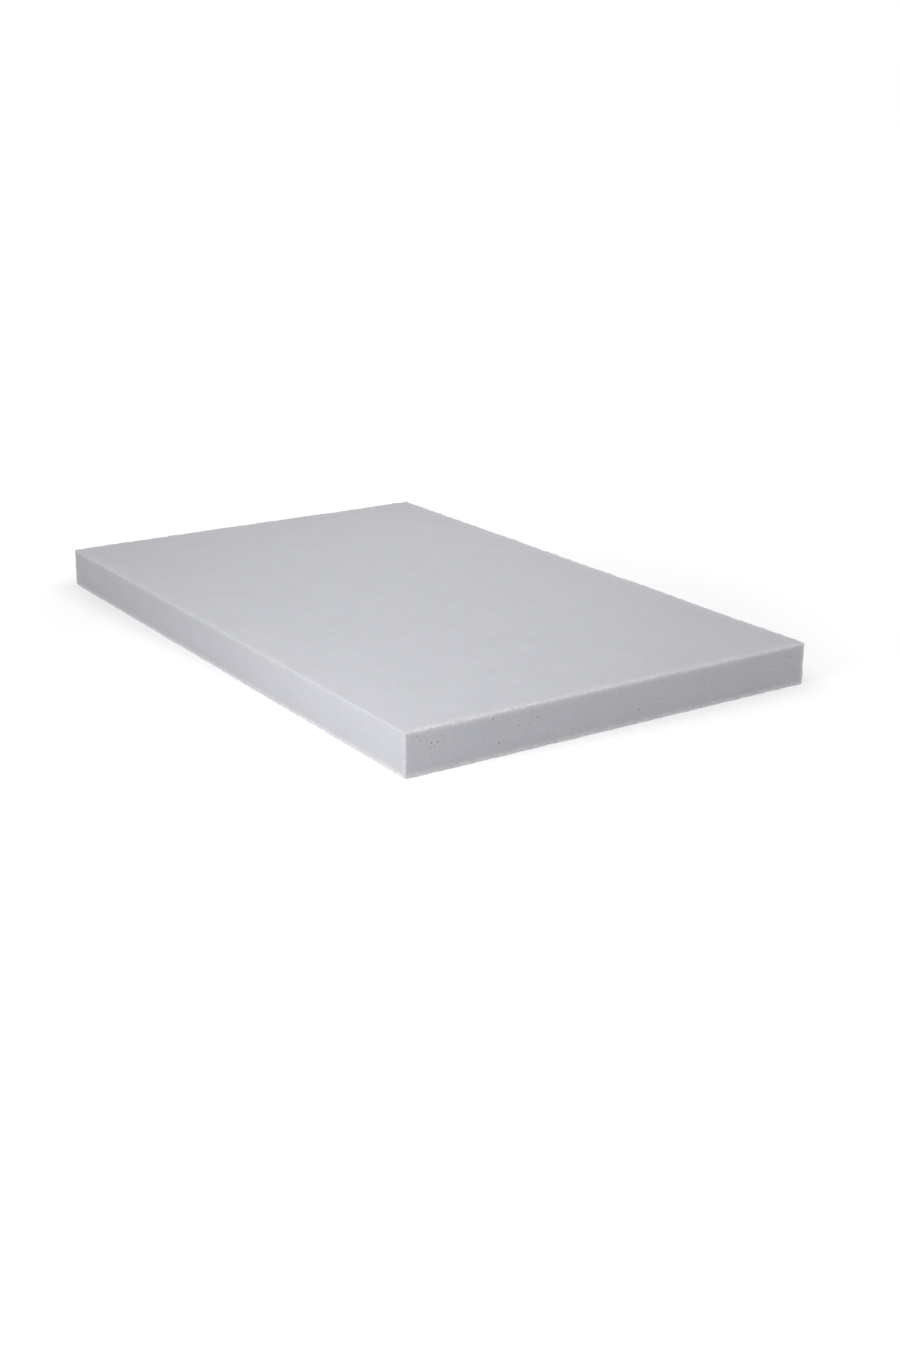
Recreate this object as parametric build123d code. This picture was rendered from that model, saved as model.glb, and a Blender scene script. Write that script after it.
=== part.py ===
from build123d import *
import os

# Foam sheet: one rectangular slab of flexible open-cell foam, cut to size on all six faces.
#
# The slab lies flat. Its length runs along X, its width along Y and its thickness along Z,
# and the origin is the centre of the underside. All sizes are in millimetres.

# Overall size of the slab.
SHEET_LENGTH = 800.0
SHEET_WIDTH = 500.0
SHEET_THICKNESS = 46.0

# The knife leaves every arris a little soft: the upright corners most, and the long
# arrises round the two large faces less.
CORNER_RADIUS = 2.0
ARRIS_RADIUS = 1.2


def cut_outline():
    """The slab's outline in plan, with its four softened upright corners."""
    outline = Rectangle(SHEET_LENGTH, SHEET_WIDTH)
    return fillet(outline.vertices(), CORNER_RADIUS)


def large_face_arrises(slab):
    """The edges round the underside and round the top face."""
    by_height = slab.edges().group_by(Axis.Z)
    return by_height[0] + by_height[-1]


def foam_sheet():
    """The whole slab: the outline drawn up to the thickness, with its arrises softened."""
    slab = extrude(cut_outline(), amount=SHEET_THICKNESS)
    return fillet(large_face_arrises(slab), ARRIS_RADIUS)


def main():
    os.makedirs("parts", exist_ok=True)
    sheet = foam_sheet()
    sheet.label = "foam_sheet"
    export_step(sheet, "parts/foam_sheet.step")


main()
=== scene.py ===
"""Foam sheet: the looks of one knife-cut slab of soft foam, and the studio stage under it.

The file is laid out as a Blender add-on and is run as a script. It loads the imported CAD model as
a fixed frame, models the slab over the CAD node's box, gives it its foam, and lights it.
Sizes are in metres in the CAD frame: length along X, width along Y, thickness along Z.
"""

import math
import random

import bmesh
import bpy
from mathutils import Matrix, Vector, kdtree


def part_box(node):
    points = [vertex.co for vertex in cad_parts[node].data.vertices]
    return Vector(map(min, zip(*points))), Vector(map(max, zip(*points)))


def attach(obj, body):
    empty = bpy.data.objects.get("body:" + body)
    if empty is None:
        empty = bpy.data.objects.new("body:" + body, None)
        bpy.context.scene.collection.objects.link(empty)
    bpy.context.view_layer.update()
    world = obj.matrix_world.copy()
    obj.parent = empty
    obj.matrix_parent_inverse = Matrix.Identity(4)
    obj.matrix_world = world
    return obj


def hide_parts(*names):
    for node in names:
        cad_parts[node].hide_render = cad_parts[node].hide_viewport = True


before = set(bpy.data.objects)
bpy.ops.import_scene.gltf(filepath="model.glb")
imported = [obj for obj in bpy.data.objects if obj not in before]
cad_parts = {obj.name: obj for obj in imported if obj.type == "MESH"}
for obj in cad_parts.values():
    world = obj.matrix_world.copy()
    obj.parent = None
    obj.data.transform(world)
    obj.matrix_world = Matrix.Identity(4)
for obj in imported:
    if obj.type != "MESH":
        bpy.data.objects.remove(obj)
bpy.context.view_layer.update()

bl_info = {
    "name": "Foam Sheet",
    "version": (1, 0, 0),
    "blender": (4, 5, 0),
    "location": "View3D > Sidebar > Foam Sheet",
    "description": "Models a knife-cut slab of soft foam with open pores, and its stage",
    "category": "Object",
}

MM = 0.001
SQUARE_DECIMETRE = 0.01
NODE = "foam_sheet"
BODY = "root"
PIECE = "foam_slab"


def linear(hex_colour):
    """A linear RGBA colour from an sRGB hex one."""
    channels = []
    for start in (1, 3, 5):
        value = int(hex_colour[start:start + 2], 16) / 255
        if value <= 0.04045:
            channels.append(value / 12.92)
        else:
            channels.append(((value + 0.055) / 1.055) ** 2.4)
    return (*channels, 1.0)


# ---------------------------------------------------------------------------------------------
# Settings
# ---------------------------------------------------------------------------------------------

# Lengths are shown to a hundredth of a millimetre.
LENGTH_DIGITS = 5


class FoamSlabSettings(bpy.types.PropertyGroup):
    """Sizes of the slab's cut faces and arrises."""

    corner_radius: bpy.props.FloatProperty(
        name="Corner radius",
        description="Rounding of the four upright corners, less than a quarter of the face grid",
        default=1.8 * MM,
        min=0.0,
        unit="LENGTH",
        precision=LENGTH_DIGITS,
    )
    arris_radius: bpy.props.FloatProperty(
        name="Arris radius",
        description="Rounding of the arrises round both large faces, less than the corner radius",
        default=1.1 * MM,
        min=0.0,
        unit="LENGTH",
        precision=LENGTH_DIGITS,
    )
    arris_segments: bpy.props.IntProperty(
        name="Arris segments",
        description="Flats across each rounded arris and corner",
        default=4,
        min=1,
        max=8,
    )
    face_grid: bpy.props.FloatProperty(
        name="Face grid",
        description="Mesh spacing on the large faces, which are nearly flat",
        default=8.0 * MM,
        min=2.0 * MM,
        unit="LENGTH",
        precision=LENGTH_DIGITS,
    )
    side_band: bpy.props.FloatProperty(
        name="Side band",
        description="How far from an arris the mesh is twice as fine as the face grid",
        default=24.0 * MM,
        unit="LENGTH",
        precision=LENGTH_DIGITS,
    )
    arris_band: bpy.props.FloatProperty(
        name="Arris band",
        description="How far from an arris the mesh is four times as fine as the face grid",
        default=8.0 * MM,
        unit="LENGTH",
        precision=LENGTH_DIGITS,
    )
    knife_wander: bpy.props.FloatProperty(
        name="Knife wander",
        description="Strength of the slow swells in the cut faces, about five times their height",
        default=1.0 * MM,
        unit="LENGTH",
        precision=LENGTH_DIGITS,
    )
    wander_length: bpy.props.FloatProperty(
        name="Wander length",
        description="Size of the slow swells",
        default=140.0 * MM,
        unit="LENGTH",
        precision=LENGTH_DIGITS,
    )
    knife_ripple: bpy.props.FloatProperty(
        name="Knife ripple",
        description="Strength of the quick ripples where the blade tugged the soft foam",
        default=0.45 * MM,
        unit="LENGTH",
        precision=LENGTH_DIGITS,
    )
    ripple_length: bpy.props.FloatProperty(
        name="Ripple length",
        description="Size of the quick ripples",
        default=18.0 * MM,
        unit="LENGTH",
        precision=LENGTH_DIGITS,
    )
    arris_nibble: bpy.props.FloatProperty(
        name="Arris nibble",
        description="Strength of the shallow nibbles where the blade dragged on the arrises",
        default=2.0 * MM,
        unit="LENGTH",
        precision=LENGTH_DIGITS,
    )
    nibble_length: bpy.props.FloatProperty(
        name="Nibble length",
        description="Size of the shallow nibbles",
        default=9.0 * MM,
        unit="LENGTH",
        precision=LENGTH_DIGITS,
    )
    arris_fuzz: bpy.props.FloatProperty(
        name="Arris fuzz",
        description="Strength of the small notches where cells tore along the arrises",
        default=1.4 * MM,
        unit="LENGTH",
        precision=LENGTH_DIGITS,
    )
    fuzz_length: bpy.props.FloatProperty(
        name="Fuzz length",
        description="Size of the small notches",
        default=3.5 * MM,
        unit="LENGTH",
        precision=LENGTH_DIGITS,
    )


class FoamPoreSettings(bpy.types.PropertyGroup):
    """The blow holes that the knife cut open."""

    seed: bpy.props.IntProperty(
        name="Seed",
        description="Start of the random places and sizes of the pores",
        default=7,
    )
    end_pores: bpy.props.FloatProperty(
        name="End pores",
        description="Pores in each square decimetre of the two ends",
        default=16.0,
        min=0.0,
    )
    side_pores: bpy.props.FloatProperty(
        name="Side pores",
        description="Pores in each square decimetre of the two long sides",
        default=6.0,
        min=0.0,
    )
    face_pores: bpy.props.FloatProperty(
        name="Face pores",
        description="Pores in each square decimetre of the two large faces",
        default=1.0,
        min=0.0,
    )
    flock: bpy.props.IntProperty(
        name="Flock",
        description="The most pores that lie close together",
        default=5,
        min=1,
    )
    flock_reach: bpy.props.FloatProperty(
        name="Flock reach",
        description="How far the pores of a flock spread",
        default=12.0 * MM,
        unit="LENGTH",
        precision=LENGTH_DIGITS,
    )
    smallest: bpy.props.FloatProperty(
        name="Smallest pore",
        description="Radius of the smallest modelled pore",
        default=0.45 * MM,
        unit="LENGTH",
        precision=LENGTH_DIGITS,
    )
    largest: bpy.props.FloatProperty(
        name="Largest pore",
        description="Radius of the largest modelled pore",
        default=1.2 * MM,
        unit="LENGTH",
        precision=LENGTH_DIGITS,
    )


class FoamColourSettings(bpy.types.PropertyGroup):
    """The foam's colour and the colours of its painted arris highlight and painted pore shade, as
    linear values of sRGB hex colours.
    """

    foam: bpy.props.FloatVectorProperty(
        name="Foam",
        description="Light cool grey of the cut foam",
        subtype="COLOR",
        size=4,
        min=0.0,
        max=1.0,
        default=linear("#C9CAD0"),
    )
    # Painted highlight: the arrises are lightened towards this colour. It stands in for light that
    # comes through the thin cell walls there and, on the lower arrises, for light bounced up from
    # below.
    arris: bpy.props.FloatVectorProperty(
        name="Arris",
        description="Paler foam at the arrises, where light comes through the thin cell walls",
        subtype="COLOR",
        size=4,
        min=0.0,
        max=1.0,
        default=linear("#F0F0F2"),
    )
    # Painted shade: the pits and pinholes are darkened towards this colour in place of the shade
    # that falls inside them.
    pore: bpy.props.FloatVectorProperty(
        name="Pore",
        description="Darker grey deep inside an open pore",
        subtype="COLOR",
        size=4,
        min=0.0,
        max=1.0,
        default=linear("#A8A9AE"),
    )


class FoamStageSettings(bpy.types.PropertyGroup):
    """The camera, the lamps and the floor."""

    azimuth: bpy.props.FloatProperty(
        name="Azimuth",
        description="Turn of the camera round the slab: at 0 it looks along +Y, at 90 along -X",
        default=math.radians(56.787),
        subtype="ANGLE",
    )
    elevation: bpy.props.FloatProperty(
        name="Elevation",
        description="Height of the camera above the horizon",
        default=math.radians(18.558),
        subtype="ANGLE",
    )
    distance: bpy.props.FloatProperty(
        name="Distance",
        description="From the camera to the point it looks at",
        default=2.0396,
        unit="LENGTH",
    )
    aim: bpy.props.FloatVectorProperty(
        name="Aim",
        description="The point the camera looks at, from the middle of the underside",
        default=(0.0541, 0.0261, -0.0461),
        subtype="TRANSLATION",
        unit="LENGTH",
    )
    lens: bpy.props.FloatProperty(
        name="Lens",
        description="Focal length in millimetres on a sensor 36 mm on its long side",
        default=46.52,
        min=1.0,
        unit="CAMERA",
    )
    floor_size: bpy.props.FloatProperty(
        name="Floor size",
        description="Side of the square floor",
        default=40.0,
        unit="LENGTH",
    )
    floor_colour: bpy.props.FloatVectorProperty(
        name="Floor colour",
        description="White paper floor",
        subtype="COLOR",
        size=4,
        min=0.0,
        max=1.0,
        default=linear("#F4F4F4"),
    )
    room_light: bpy.props.FloatProperty(
        name="Room light",
        description="Strength of the even white light from all round",
        default=0.54,
        min=0.0,
    )


# ---------------------------------------------------------------------------------------------
# Modelling helpers
# ---------------------------------------------------------------------------------------------


def only(obj):
    """Make one object the only selected and active one."""
    bpy.ops.object.select_all(action="DESELECT")
    obj.select_set(True)
    bpy.context.view_layer.objects.active = obj


def edit(obj, select_mode):
    """Go into edit mode on one object with nothing selected."""
    only(obj)
    bpy.ops.object.mode_set(mode="EDIT")
    bpy.ops.mesh.select_mode(type=select_mode)
    bpy.ops.mesh.select_all(action="DESELECT")


def leave_edit():
    """Go back to object mode."""
    bpy.ops.object.mode_set(mode="OBJECT")


def pick(obj, parts, test):
    """Select the vertices, edges or faces that pass a test."""
    mesh = bmesh.from_edit_mesh(obj.data)
    for part in getattr(mesh, parts):
        if test(part):
            part.select_set(True)
    mesh.select_flush_mode()
    bmesh.update_edit_mesh(obj.data)


def apply_modifier(obj, modifier):
    """Apply a modifier to the mesh."""
    only(obj)
    bpy.ops.object.modifier_apply(modifier=modifier.name)


# ---------------------------------------------------------------------------------------------
# The slab
# ---------------------------------------------------------------------------------------------

# An edge runs along an axis if this share of its length does.
ALONG_AXIS = 0.99

# A point this near to a face lies on it.
ON_FACE = 0.01 * MM

# The bevel profile that gives a circular arc.
ROUND_PROFILE = 0.5

# Edges that turn by more than the first angle are still unrounded arrises, and those that turn
# by less than the second are shaded smooth.
ARRIS_ANGLE = math.radians(60)
SMOOTH_ANGLE = math.radians(50)


class SlabBox:
    """The CAD node's box, and how far a point is from its faces and arrises."""

    def __init__(self, node):
        self.low, self.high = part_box(node)
        self.size = self.high - self.low
        self.centre = (self.low + self.high) / 2

    def gaps(self, point):
        """Distance from a point to the nearer face on each of the three axes."""
        return [min(point[i] - self.low[i], self.high[i] - point[i]) for i in range(3)]

    def from_arris(self, point):
        """Distance from a point on the surface to the nearest arris."""
        return sorted(self.gaps(point))[1]


def add_block(box):
    """A plain block that fills the box."""
    bpy.ops.object.select_all(action="DESELECT")
    bpy.ops.mesh.primitive_cube_add(size=1.0, calc_uvs=False, location=box.centre)
    block = bpy.context.object
    block.name = PIECE
    block.data.name = PIECE
    block.scale = box.size
    bpy.ops.object.transform_apply(location=True, rotation=True, scale=True)
    return block


def cut_grid(block, box, spacing):
    """Divide all six faces into squares."""
    edit(block, "EDGE")
    for axis in range(3):
        def lies_along(edge):
            span = edge.verts[0].co - edge.verts[1].co
            return abs(span[axis]) > ALONG_AXIS * span.length

        bpy.ops.mesh.select_all(action="DESELECT")
        pick(block, "edges", lies_along)
        cells = max(2, round(box.size[axis] / spacing))
        bpy.ops.mesh.subdivide(number_cuts=cells - 1, smoothness=0.0)
    leave_edit()


def refine_near_arrises(block, box, band):
    """Halve the squares that lie within a band along the arrises."""
    edit(block, "FACE")
    pick(block, "faces", lambda face: box.from_arris(face.calc_center_median()) < band)
    bpy.ops.mesh.subdivide(number_cuts=1, smoothness=0.0)
    leave_edit()


def soften_arrises(block, box, settings):
    """Round the upright corners, then the arrises round the two large faces."""

    def is_upright_corner(edge):
        middle = (edge.verts[0].co + edge.verts[1].co) / 2
        return max(box.gaps(middle)[:2]) < ON_FACE

    edit(block, "EDGE")
    pick(block, "edges", is_upright_corner)
    bpy.ops.mesh.bevel(
        offset=settings.corner_radius,
        segments=settings.arris_segments,
        profile=ROUND_PROFILE,
        affect="EDGES",
        clamp_overlap=True,
    )
    bpy.ops.mesh.select_all(action="DESELECT")
    bpy.ops.mesh.edges_select_sharp(sharpness=ARRIS_ANGLE)
    bpy.ops.mesh.bevel(
        offset=settings.arris_radius,
        segments=settings.arris_segments,
        profile=ROUND_PROFILE,
        affect="EDGES",
        clamp_overlap=True,
    )
    leave_edit()


def weigh(block, name, weight_of):
    """Add a vertex group whose weights come from a function of the vertex's place."""
    group = block.vertex_groups.new(name=name)
    for vertex in block.data.vertices:
        group.add([vertex.index], min(1.0, weight_of(vertex.co)), "REPLACE")


def swell(block, name, strength, length, group=""):
    """Push the surface in and out by cloud noise of one size.

    The noise keeps near its middle grey, so the surface moves by about a fifth of the strength.
    """
    texture = bpy.data.textures.new(name, "CLOUDS")
    texture.noise_scale = length
    texture.noise_depth = 1
    modifier = block.modifiers.new(name, "DISPLACE")
    modifier.texture = texture
    modifier.texture_coords = "LOCAL"
    modifier.direction = "NORMAL"
    modifier.mid_level = 0.5
    modifier.strength = strength
    modifier.vertex_group = group
    apply_modifier(block, modifier)


def press_on_floor(block, box):
    """Flatten what hangs below the underside, as the slab's own weight does."""
    for vertex in block.data.vertices:
        vertex.co.z = max(vertex.co.z, box.low.z)
    block.data.update()


# The mouth of a bevelled grid vertex is round at this profile: its middle points are then as
# far from the vertex as its end points are.
ROUND_MOUTH = (1 - math.sqrt(0.5)) ** 2

# The wall of a pore, from its mouth inwards: how far each step goes in from the rim and how
# far down, in pore radii, and how dark the shade painted there is, from 0 to 1.
PORE_WALL = ((0.06, 0.14, 0.2), (0.14, 0.28, 0.5), (0.22, 0.26, 0.7), (0.15, 0.08, 0.8))

# The radii are rounded down to this many steps. The allowance keeps a radius that is on a
# step from falling to the one below.
PORE_SIZES = 8
STEP_ALLOWANCE = 0.01

# The least distance from the wanted place of a random pore to an arris.
PORE_MARGIN = 5 * MM

# The least foam left between two pores, or between a pore and the next grid vertex.
PORE_GAP = 0.3 * MM

# How far a flock spreads up a face, as a share of how far it spreads along it.
FLOCK_RISE = 0.5

# Most pores are small: a random share of the range of radii is raised to this power.
SMALL_PORE_POWER = 3

# Grid lines cross squarely where the unit vectors along the four edges add up to less than
# the first value, and the shortest edge is more than the second as a share of the longest.
MOST_IMBALANCE = 0.2
LEAST_EVENNESS = 0.8

# How far a grid vertex may slide, as a share of its shortest edge.
MOST_SLIDE = 0.3

# Vertices are told apart by their places, to this many decimals of a metre.
PLACE_DIGITS = 6

# The blow holes that stand out on the end at +X: how far along it from the corner at -Y, how
# far below the top, and the radius, in millimetres.
END_PORES = (
    (106, 32.5, 1.1),
    (195.5, 36, 1.1),
    (29.5, 16, 1.1),
    (36.5, 16.5, 1.2),
    (209, 35, 1.0),
    (371, 24.5, 0.9),
    (276, 32, 1.0),
    (14, 8, 1.0),
    (17.5, 11, 1.1),
    (28, 20, 0.9),
    (33, 20.5, 1.0),
    (41, 10.5, 0.9),
    (29, 25, 0.8),
    (52, 17, 0.8),
    (55, 14, 0.7),
    (98, 6, 1.0),
    (110, 30, 0.8),
    (128, 18, 1.0),
    (140, 19, 0.8),
    (139, 26, 0.9),
    (149.5, 13.5, 1.0),
    (153, 14.5, 0.9),
    (163.5, 35.5, 0.8),
    (169.5, 35.5, 0.9),
    (192, 12.5, 0.7),
    (195, 10, 0.7),
    (249, 27, 0.9),
    (298, 24.5, 0.9),
    (303, 26.5, 0.8),
    (303.5, 39, 0.8),
    (306, 8, 0.8),
    (350.5, 30.5, 0.8),
    (354.5, 28.5, 0.8),
    (406.5, 39, 0.9),
    (457, 19, 0.9),
    (466, 40, 0.8),
    (477, 21, 0.9),
    (481, 12, 0.9),
    (485, 28, 0.9),
)


class CutSide:
    """One of the six cut faces: points on it are given by two distances from a corner."""

    def __init__(self, box, axis, far):
        self.axis = axis
        self.along, self.up = [i for i in range(3) if i != axis]
        self.box = box
        self.level = box.high[axis] if far else box.low[axis]
        self.area = box.size[self.along] * box.size[self.up]

    def place(self, along, up):
        """The point at these distances from the face's low corner."""
        point = Vector()
        point[self.axis] = self.level
        point[self.along] = self.box.low[self.along] + along
        point[self.up] = self.box.low[self.up] + up
        return point

    def somewhere(self, chance, margin):
        """A random point at least a margin from the face's arrises."""
        return self.place(
            chance.uniform(margin, self.box.size[self.along] - margin),
            chance.uniform(margin, self.box.size[self.up] - margin),
        )


def flock_of_pores(side, most, chance, settings):
    """Places and radii of a few random pores that lie close together on one cut face."""
    spread = settings.largest - settings.smallest
    middle = side.somewhere(chance, PORE_MARGIN)
    flock = []
    for _ in range(min(most, chance.randint(1, settings.flock))):
        place = middle.copy()
        place[side.along] += chance.gauss(0.0, settings.flock_reach)
        place[side.up] += chance.gauss(0.0, settings.flock_reach * FLOCK_RISE)
        radius = settings.smallest + spread * chance.random() ** SMALL_PORE_POWER
        flock.append((place, radius))
    return flock


def wanted_pores(box, settings):
    """Places and radii of all the pores: those named above, and flocks of random ones."""
    chance = random.Random(settings.seed)
    densities = (settings.end_pores, settings.side_pores, settings.face_pores)
    wanted = []
    for axis, density in enumerate(densities):
        for far in (True, False):
            side = CutSide(box, axis, far)
            count = round(density * side.area / SQUARE_DECIMETRE)
            if axis == 0 and far:
                for along, below, radius in END_PORES:
                    place = side.place(along * MM, box.size.z - below * MM)
                    wanted.append((place, radius * MM))
                count -= len(END_PORES)
            while count > 0:
                flock = flock_of_pores(side, count, chance, settings)
                wanted += [pore for pore in flock if box.from_arris(pore[0]) > PORE_MARGIN]
                count -= len(flock)
    return wanted


def crossings(block):
    """The vertices where the grid's lines cross squarely, each with its four neighbours."""
    mesh = bmesh.new()
    mesh.from_mesh(block.data)
    found = {}
    for vertex in mesh.verts:
        ends = [edge.other_vert(vertex) for edge in vertex.link_edges]
        ways = [end.co - vertex.co for end in ends]
        balance = sum((way.normalized() for way in ways), Vector())
        longest = max(way.length for way in ways)
        shortest = min(way.length for way in ways)
        even = shortest > LEAST_EVENNESS * longest
        if len(ways) == 4 and balance.length < MOST_IMBALANCE and even:
            found[vertex.index] = [end.index for end in ends]
    mesh.free()
    return found


def slide_to_pores(block, wanted, smallest):
    """Slide the nearest grid crossings towards the wanted places, and give each its radius.

    A pore stays clear of its neighbours, and gives way to those that came before it.
    """
    vertices = block.data.vertices
    neighbours = crossings(block)
    finder = kdtree.KDTree(len(neighbours))
    for index in neighbours:
        finder.insert(vertices[index].co, index)
    finder.balance()
    radii = {}
    for place, radius in wanted:
        _, index, _ = finder.find(place)
        if index in radii:
            continue
        where = vertices[index].co
        shortest = min((vertices[end].co - where).length for end in neighbours[index])
        room = shortest
        for other, taken in radii.items():
            room = min(room, (vertices[other].co - where).length - taken)
        room -= PORE_GAP
        if room < smallest:
            continue
        radii[index] = min(radius, room)
        # The slide keeps to the face: its smallest part is mostly the one across it.
        slide = place - where
        slide[min(range(3), key=lambda axis: abs(slide[axis]))] = 0.0
        reach = min(room - radii[index], MOST_SLIDE * shortest)
        if slide.length > reach:
            slide *= reach / slide.length
        vertices[index].co += slide
    return radii


def open_pores(block, box, settings):
    """Open round pits in the cut faces, where the knife went through blow holes, and paint shade
    into them.
    """
    radii = slide_to_pores(block, wanted_pores(box, settings), settings.smallest)
    by_size = [set() for _ in range(PORE_SIZES)]
    step = (settings.largest - settings.smallest) / (PORE_SIZES - 1)
    for index, radius in radii.items():
        size = int((radius - settings.smallest) / step + STEP_ALLOWANCE)
        place = block.data.vertices[index].co.to_tuple(PLACE_DIGITS)
        by_size[min(PORE_SIZES - 1, max(0, size))].add(place)
    block.data.attributes.new("pore", "FLOAT", "POINT")
    for size, places in enumerate(by_size):
        radius = settings.smallest + size * step
        edit(block, "VERT")
        pick(block, "verts", lambda vertex: vertex.co.to_tuple(PLACE_DIGITS) in places)
        bpy.ops.mesh.bevel(
            offset=radius,
            segments=2,
            profile=ROUND_MOUTH,
            affect="VERTICES",
            clamp_overlap=True,
        )
        bpy.ops.mesh.select_mode(type="FACE")
        bpy.ops.mesh.dissolve_faces()
        for inwards, down, painted_shade in PORE_WALL:
            bpy.ops.mesh.inset(
                thickness=inwards * radius,
                depth=-down * radius,
                use_individual=True,
                use_even_offset=False,
            )
            # The pore attribute holds the shade painted on each step of the wall.
            mesh = bmesh.from_edit_mesh(block.data)
            layer = mesh.verts.layers.float["pore"]
            for vertex in mesh.verts:
                if vertex.select:
                    vertex[layer] = painted_shade
        leave_edit()


# How strongly a highlight is painted on each kind of arris at its crest, and how far it reaches
# into the faces, in millimetres. It stands in for light that comes through the thin cell walls.
# It is strongest on the lower arrises, where it also stands in for light bounced up from below,
# and weak at the near upright corner, which the key softbox lights.
ARRIS_PAINTED_HIGHLIGHT = {
    "near upright": (0.2, 7),
    "upright": (0.95, 7),
    "lower": (1.2, 7),
    "upper along -Y": (0.55, 7),
    "upper": (0.85, 7),
}

# The painted highlight on the top face and its reach, as multiples of those on the sides.
TOP_PAINTED_HIGHLIGHT = 0.3
TOP_REACH = 2


def arris_kind(box, place):
    """Which kind of arris is nearest to a point on the surface."""
    across, along, up = box.gaps(place)
    if up > max(across, along):
        is_near = place.x > box.centre.x and place.y < box.centre.y
        return "near upright" if is_near else "upright"
    if place.z < box.centre.z:
        return "lower"
    if along < across and place.y < box.centre.y:
        return "upper along -Y"
    return "upper"


def paint_arris_highlights(block, box):
    """Add an attribute for how strongly a highlight is painted at the arrises, 0 well inside the
    faces.

    The painted highlight on the upper arris at -Y fades towards +X, where the key softbox
    already lights that arris's crest.
    """
    painted_highlights = block.data.attributes.new("arris", "FLOAT", "POINT")
    for vertex, value in zip(block.data.vertices, painted_highlights.data, strict=True):
        place = vertex.co
        across, along, up = box.gaps(place)
        kind = arris_kind(box, place)
        pale, reach = ARRIS_PAINTED_HIGHLIGHT[kind]
        if kind == "upper along -Y":
            pale *= (box.high.x - place.x) / box.size.x
        if place.z > box.centre.z and up < min(across, along):
            pale *= TOP_PAINTED_HIGHLIGHT
            reach *= TOP_REACH
        gap = max(0.0, box.from_arris(place))
        value.value = pale * max(0.0, 1.0 - gap / (reach * MM)) ** 2


def make_slab(box, slab, pores):
    """The whole slab, from the block to its open pores."""
    block = add_block(box)
    cut_grid(block, box, slab.face_grid)
    refine_near_arrises(block, box, slab.side_band)
    refine_near_arrises(block, box, slab.arris_band)
    soften_arrises(block, box, slab)
    # The nibbles and the fuzz fade out over the outer half of the arris band.
    reach = slab.arris_band / 2
    weigh(block, "near_arris", lambda place: max(0.0, 1.0 - box.from_arris(place) / reach) ** 2)
    swell(block, "knife_wander", slab.knife_wander, slab.wander_length)
    swell(block, "knife_ripple", slab.knife_ripple, slab.ripple_length)
    swell(block, "arris_nibble", slab.arris_nibble, slab.nibble_length, "near_arris")
    swell(block, "arris_fuzz", slab.arris_fuzz, slab.fuzz_length, "near_arris")
    press_on_floor(block, box)
    only(block)
    bpy.ops.object.vertex_group_remove(all=True)
    open_pores(block, box, pores)
    paint_arris_highlights(block, box)
    only(block)
    bpy.ops.object.shade_smooth_by_angle(angle=SMOOTH_ANGLE)
    return block


# ---------------------------------------------------------------------------------------------
# Materials
# ---------------------------------------------------------------------------------------------


def add_node(tree, kind, settings=None, links=None):
    """Add a node, set its properties and inputs, and link other nodes' outputs to it."""
    node = tree.nodes.new(kind)
    for name, value in (settings or {}).items():
        if isinstance(name, str) and hasattr(node, name):
            setattr(node, name, value)
        else:
            node.inputs[name].default_value = value
    for name, source in (links or {}).items():
        tree.links.new(source, node.inputs[name])
    return node


def empty_material(name):
    """A material with nodes and none of them placed yet."""
    material = bpy.data.materials.new(name)
    material.use_nodes = True
    material.node_tree.nodes.clear()
    return material


# The sizes of the foam's patterns. The cells themselves are 0.7 mm wide, and are drawn wider
# so that they show.
DENSITY_CLOUD = 40 * MM
CELL_GROUP = 5 * MM
DRAWN_CELL = 1.8 * MM
BUBBLE_SPACING = 6 * MM

# A pinhole shows where the cut passes within the radius of a bubble's middle, and the shade
# painted in it is darkest within its core. There it is this share as dark as the painted shade in
# a pore.
BUBBLE_RADIUS = 0.66 * MM
BUBBLE_CORE = 0.3 * MM
PINHOLE_SHADE_SHARE = 0.6

# Nearly all of a noise lies between these two values.
NOISE_LOW = 0.3
NOISE_HIGH = 0.7

# How far each pattern goes to either side of plain: the brightness of the two kinds of
# mottling, and the painted highlight of the ragged arrises.
CLOUD_SPREAD = 0.015
GROUP_SPREAD = 0.025
RAGGED_SPREAD = 0.4


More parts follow.
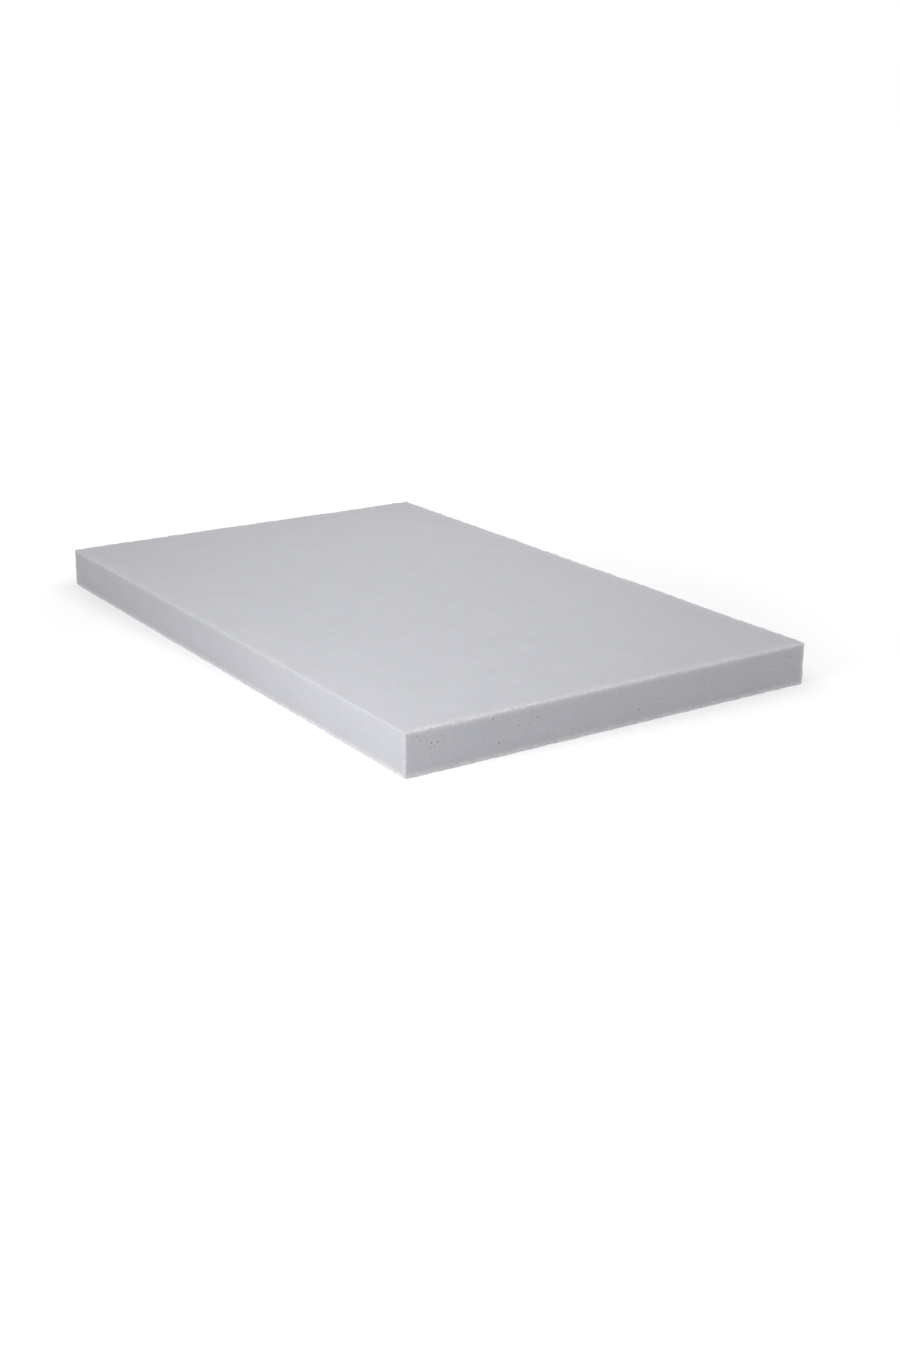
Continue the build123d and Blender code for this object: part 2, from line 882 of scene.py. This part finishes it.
def foam_material(colours):
    """Flexible polyurethane ether foam, open cell, sliced from a block with a band knife.

    It is dead matt, a little see-through in its thin cell walls, and slightly mottled. Shade is
    painted into its pinholes, where the knife opened larger cells, and into its open pores, and a
    highlight is painted on its arrises, where light comes through.
    """
    material = empty_material("cut_polyurethane_foam")
    tree = material.node_tree
    place = add_node(tree, "ShaderNodeTexCoord").outputs["Object"]

    # Density changes in the block.
    cloud = add_node(
        tree,
        "ShaderNodeTexNoise",
        {"Scale": 1 / DENSITY_CLOUD, "Detail": 2.0, "Roughness": 0.5},
        {"Vector": place},
    ).outputs["Fac"]
    # Groups of open and closed cells.
    speckle = add_node(
        tree,
        "ShaderNodeTexNoise",
        {"Scale": 1 / CELL_GROUP, "Detail": 3.0, "Roughness": 0.6},
        {"Vector": place},
    ).outputs["Fac"]
    # The cells, drawn coarser than they are.
    cells = add_node(
        tree,
        "ShaderNodeTexVoronoi",
        {"feature": "F1", "Scale": 1 / DRAWN_CELL},
        {"Vector": place},
    ).outputs["Distance"]
    # Larger bubbles among the cells, and the pinholes where the knife opened them.
    bubbles = add_node(
        tree,
        "ShaderNodeTexVoronoi",
        {"feature": "F1", "Scale": 1 / BUBBLE_SPACING},
        {"Vector": place},
    ).outputs["Distance"]
    pinhole = add_node(
        tree,
        "ShaderNodeMapRange",
        {
            "From Min": BUBBLE_CORE / BUBBLE_SPACING,
            "From Max": BUBBLE_RADIUS / BUBBLE_SPACING,
            "To Min": 1.0,
            "To Max": 0.0,
        },
        {"Value": bubbles},
    ).outputs["Result"]
    # The arrises are ragged: their painted highlight comes and goes every few millimetres.
    ragged = add_node(
        tree,
        "ShaderNodeMapRange",
        {
            "From Min": NOISE_LOW,
            "From Max": NOISE_HIGH,
            "To Min": 1 - RAGGED_SPREAD,
            "To Max": 1 + RAGGED_SPREAD,
        },
        {"Value": speckle},
    ).outputs["Result"]
    arris = add_node(tree, "ShaderNodeAttribute", {"attribute_name": "arris"}).outputs["Fac"]
    arris_highlight = add_node(
        tree,
        "ShaderNodeMath",
        {"operation": "MULTIPLY", "use_clamp": True},
        {0: arris, 1: ragged},
    ).outputs[0]
    # The base colour is lightened towards the arris colour: a painted highlight.
    with_painted_highlight = add_node(
        tree,
        "ShaderNodeMix",
        {"data_type": "RGBA", 6: colours.foam, 7: colours.arris},
        {"Factor": arris_highlight},
    ).outputs[2]
    # Shade is painted into the open pores and the pinholes by mixing towards the pore colour.
    pore = add_node(tree, "ShaderNodeAttribute", {"attribute_name": "pore"}).outputs["Fac"]
    pinhole_painted_shade = add_node(
        tree,
        "ShaderNodeMath",
        {"operation": "MULTIPLY", 1: PINHOLE_SHADE_SHARE},
        {0: pinhole},
    ).outputs[0]
    painted_pore_shade = add_node(
        tree,
        "ShaderNodeMath",
        {"operation": "MAXIMUM"},
        {0: pore, 1: pinhole_painted_shade},
    ).outputs[0]
    with_painted_shade = add_node(
        tree,
        "ShaderNodeMix",
        {"data_type": "RGBA", 7: colours.pore},
        {"Factor": painted_pore_shade, 6: with_painted_highlight},
    ).outputs[2]
    clouded = add_node(
        tree,
        "ShaderNodeMapRange",
        {
            "From Min": NOISE_LOW,
            "From Max": NOISE_HIGH,
            "To Min": 1 - CLOUD_SPREAD,
            "To Max": 1 + CLOUD_SPREAD,
        },
        {"Value": cloud},
    ).outputs["Result"]
    speckled = add_node(
        tree,
        "ShaderNodeMapRange",
        {
            "From Min": NOISE_LOW,
            "From Max": NOISE_HIGH,
            "To Min": 1 - GROUP_SPREAD,
            "To Max": 1 + GROUP_SPREAD,
        },
        {"Value": speckle},
    ).outputs["Result"]
    shade = add_node(
        tree,
        "ShaderNodeMath",
        {"operation": "MULTIPLY"},
        {0: clouded, 1: speckled},
    ).outputs[0]
    mottled = add_node(
        tree,
        "ShaderNodeVectorMath",
        {"operation": "SCALE"},
        {0: with_painted_shade, "Scale": shade},
    ).outputs[0]
    depth = add_node(
        tree,
        "ShaderNodeMath",
        {"operation": "SUBTRACT"},
        {0: cells, 1: pinhole},
    ).outputs[0]
    bump = add_node(
        tree,
        "ShaderNodeBump",
        {"Strength": 0.5, "Distance": 0.4 * MM},
        {"Height": depth},
    ).outputs["Normal"]
    # Solid polyurethane has an IOR of 1.5. Cut into cells it has hardly any sheen, and light
    # goes a few millimetres into it.
    shader = add_node(
        tree,
        "ShaderNodeBsdfPrincipled",
        {
            "Roughness": 0.95,
            "IOR": 1.5,
            "Specular IOR Level": 0.2,
            "Subsurface Weight": 0.6,
            "Subsurface Radius": (1.0, 1.0, 1.0),
            "Subsurface Scale": 5.0 * MM,
        },
        {"Base Color": mottled, "Normal": bump},
    )
    add_node(
        tree,
        "ShaderNodeOutputMaterial",
        links={"Surface": shader.outputs["BSDF"]},
    )
    return material


def seen_directly(tree):
    """1 for rays from the camera, mirrors or glass, and 0 for the light on the object."""
    path = add_node(tree, "ShaderNodeLightPath")
    camera_or_mirror = add_node(
        tree,
        "ShaderNodeMath",
        {"operation": "ADD"},
        {0: path.outputs["Is Camera Ray"], 1: path.outputs["Is Glossy Ray"]},
    )
    return add_node(
        tree,
        "ShaderNodeMath",
        {"operation": "ADD", "use_clamp": True},
        {0: camera_or_mirror.outputs[0], 1: path.outputs["Is Transmission Ray"]},
    ).outputs[0]


# Up to the first distance from its middle the paper is lifted only a little, so that the
# slab's shadow shows. From there the lift grows, and it is full from the second distance on.
LIFT_FROM = 0.4
LIFT_TO = 1.0
NEAR_LIFT = 0.3
FAR_LIFT = 0.7


def floor_material(colour):
    """White seamless background paper, rolled smooth and left uncoated.

    That makes it matt and even. Where it is seen it is lit up to white, shadows apart.
    """
    material = empty_material("white_paper_floor")
    tree = material.node_tree
    place = add_node(tree, "ShaderNodeTexCoord").outputs["Object"]
    far = add_node(tree, "ShaderNodeVectorMath", {"operation": "LENGTH"}, {0: place})
    lift = add_node(
        tree,
        "ShaderNodeMapRange",
        {"From Min": LIFT_FROM, "From Max": LIFT_TO, "To Min": NEAR_LIFT, "To Max": FAR_LIFT},
        {"Value": far.outputs["Value"]},
    ).outputs["Result"]
    whiten = add_node(
        tree,
        "ShaderNodeMath",
        {"operation": "MULTIPLY"},
        {0: lift, 1: seen_directly(tree)},
    ).outputs[0]
    paper = add_node(tree, "ShaderNodeBsdfDiffuse", {"Color": colour})
    white = add_node(tree, "ShaderNodeEmission", links={"Strength": whiten})
    lit = add_node(
        tree,
        "ShaderNodeAddShader",
        links={0: paper.outputs[0], 1: white.outputs[0]},
    )
    add_node(tree, "ShaderNodeOutputMaterial", links={"Surface": lit.outputs[0]})
    return material


# ---------------------------------------------------------------------------------------------
# The stage
# ---------------------------------------------------------------------------------------------

# Each lamp is a softbox: its name, its place, the point it faces, its two sides, and its power
# in watts.
LAMPS = (
    ("key_softbox", (0.45, -0.75, 0.35), (0.30, -0.20, 0.02), (0.40, 0.40), 1.85),
    ("strip_softbox", (0.00, 0.00, 0.65), (0.00, 0.00, 0.00), (1.40, 0.25), 1.75),
    ("back_softbox", (0.50, 1.40, 0.18), (0.20, 0.20, 0.03), (1.40, 0.30), 1.00),
)


def add_floor(settings, height):
    """A large floor at the height of the slab's underside."""
    bpy.ops.mesh.primitive_plane_add(size=settings.floor_size, location=(0.0, 0.0, height))
    floor = bpy.context.object
    floor.name = "floor"
    floor.data.materials.append(floor_material(settings.floor_colour))


def add_lamp(box, name, place, target, sides, power):
    """A softbox that faces a point and isn't seen itself.

    One that faces straight down lies along the slab's diagonal, from the near corner to the
    far one.
    """
    bpy.ops.object.light_add(type="AREA", location=place)
    lamp = bpy.context.object
    lamp.name = name
    lamp.data.shape = "RECTANGLE"
    lamp.data.size, lamp.data.size_y = sides
    lamp.data.energy = power
    lamp.visible_camera = False
    facing = Vector(target) - Vector(place)
    if facing.xy.length > 0:
        lamp.rotation_euler = facing.to_track_quat("-Z", "Y").to_euler()
    else:
        lamp.rotation_euler.z = math.atan2(box.size.y, -box.size.x)


def set_world(strength):
    """Even white light, with pure white where the world itself is seen."""
    world = bpy.data.worlds.new("white_studio")
    world.use_nodes = True
    tree = world.node_tree
    tree.nodes.clear()
    level = add_node(
        tree,
        "ShaderNodeMapRange",
        {"To Min": strength, "To Max": 1.0},
        {"Value": seen_directly(tree)},
    ).outputs["Result"]
    light = add_node(
        tree,
        "ShaderNodeBackground",
        {"Color": linear("#FFFFFF")},
        {"Strength": level},
    )
    add_node(tree, "ShaderNodeOutputWorld", links={"Surface": light.outputs[0]})
    bpy.context.scene.world = world


def add_camera(settings, origin):
    """The camera on its line of sight, by azimuth, elevation and distance."""
    aim = origin + Vector(settings.aim)
    back = Vector(
        (
            math.sin(settings.azimuth) * math.cos(settings.elevation),
            -math.cos(settings.azimuth) * math.cos(settings.elevation),
            math.sin(settings.elevation),
        )
    )
    bpy.ops.object.camera_add(location=aim + settings.distance * back)
    camera = bpy.context.object
    camera.name = "camera"
    camera.data.lens = settings.lens
    camera.rotation_euler = (-back).to_track_quat("-Z", "Y").to_euler()
    bpy.context.scene.camera = camera


# ---------------------------------------------------------------------------------------------
# Operators and panel
# ---------------------------------------------------------------------------------------------


class FOAM_OT_add_slab(bpy.types.Operator):
    """Model the foam slab over its CAD node and give it its foam"""

    bl_idname = "object.foam_add_slab"
    bl_label = "Foam slab"

    def execute(self, context):
        scene = context.scene
        slab = make_slab(SlabBox(NODE), scene.foam_slab, scene.foam_pores)
        slab.data.materials.append(foam_material(scene.foam_colours))
        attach(slab, BODY)
        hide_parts(NODE)
        return {"FINISHED"}


class FOAM_OT_add_stage(bpy.types.Operator):
    """Add the floor, the room light, the softboxes and the camera"""

    bl_idname = "scene.foam_add_stage"
    bl_label = "Stage"

    def execute(self, context):
        settings = context.scene.foam_stage
        box = SlabBox(NODE)
        origin = Vector((box.centre.x, box.centre.y, box.low.z))
        add_floor(settings, box.low.z)
        for lamp in LAMPS:
            add_lamp(box, *lamp)
        set_world(settings.room_light)
        add_camera(settings, origin)
        context.scene.view_settings.view_transform = "Standard"
        return {"FINISHED"}


class FOAM_PT_panel(bpy.types.Panel):
    """The foam sheet's settings and operators"""

    bl_idname = "FOAM_PT_panel"
    bl_label = "Foam Sheet"
    bl_space_type = "VIEW_3D"
    bl_region_type = "UI"
    bl_category = "Foam Sheet"

    def draw(self, context):
        scene = context.scene
        layout = self.layout
        layout.use_property_split = True
        for group in (scene.foam_slab, scene.foam_pores, scene.foam_colours):
            for name in group.__annotations__:
                layout.prop(group, name)
        layout.operator(FOAM_OT_add_slab.bl_idname)
        for name in scene.foam_stage.__annotations__:
            layout.prop(scene.foam_stage, name)
        layout.operator(FOAM_OT_add_stage.bl_idname)


SETTINGS = {
    "foam_slab": FoamSlabSettings,
    "foam_pores": FoamPoreSettings,
    "foam_colours": FoamColourSettings,
    "foam_stage": FoamStageSettings,
}
CLASSES = (*SETTINGS.values(), FOAM_OT_add_slab, FOAM_OT_add_stage, FOAM_PT_panel)


def register():
    """Add the settings, the operators and the panel."""
    for cls in CLASSES:
        bpy.utils.register_class(cls)
    for name, group in SETTINGS.items():
        setattr(bpy.types.Scene, name, bpy.props.PointerProperty(type=group))


def unregister():
    """Remove what register() added."""
    for name in SETTINGS:
        delattr(bpy.types.Scene, name)
    for cls in reversed(CLASSES):
        bpy.utils.unregister_class(cls)


def main():
    """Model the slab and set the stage."""
    register()
    bpy.ops.object.foam_add_slab()
    bpy.ops.scene.foam_add_stage()


if __name__ == "__main__":
    main()
